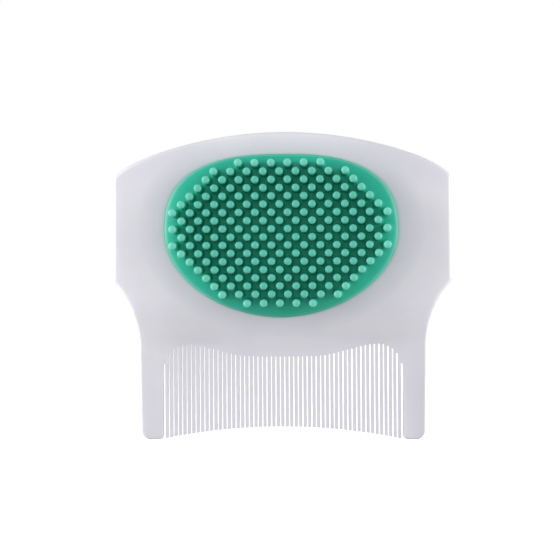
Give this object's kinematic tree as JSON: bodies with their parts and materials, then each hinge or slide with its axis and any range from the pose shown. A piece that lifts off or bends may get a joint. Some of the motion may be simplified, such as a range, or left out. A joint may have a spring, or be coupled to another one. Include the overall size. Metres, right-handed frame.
{
  "type": "flea comb",
  "caption": "Palm-held plastic flea comb: fine teeth between two guards, and an oval pad of soft massage nubs set in the palm part.",
  "frame": {"origin": "centre of the bounding box's base, on the plane of the two guard tips", "axes": "+X across the comb, to the right as the massage pad is looked at; -Y out of the pad's front and +Y out of the flat back; +Z from the guard tips up to the palm edge"},
  "size_m": [0.0902, 0.0118, 0.0815],
  "materials": {
    "white_plastic": "satin, injection moulded",
    "green_rubber": "soft satin thermoplastic rubber",
    "cover_plastic": "satin, injection moulded"
  },
  "bodies": {
    "root": {"comb_body": "white_plastic", "massage_pad": "green_rubber", "back_cover": "cover_plastic"}
  },
  "joints": []
}
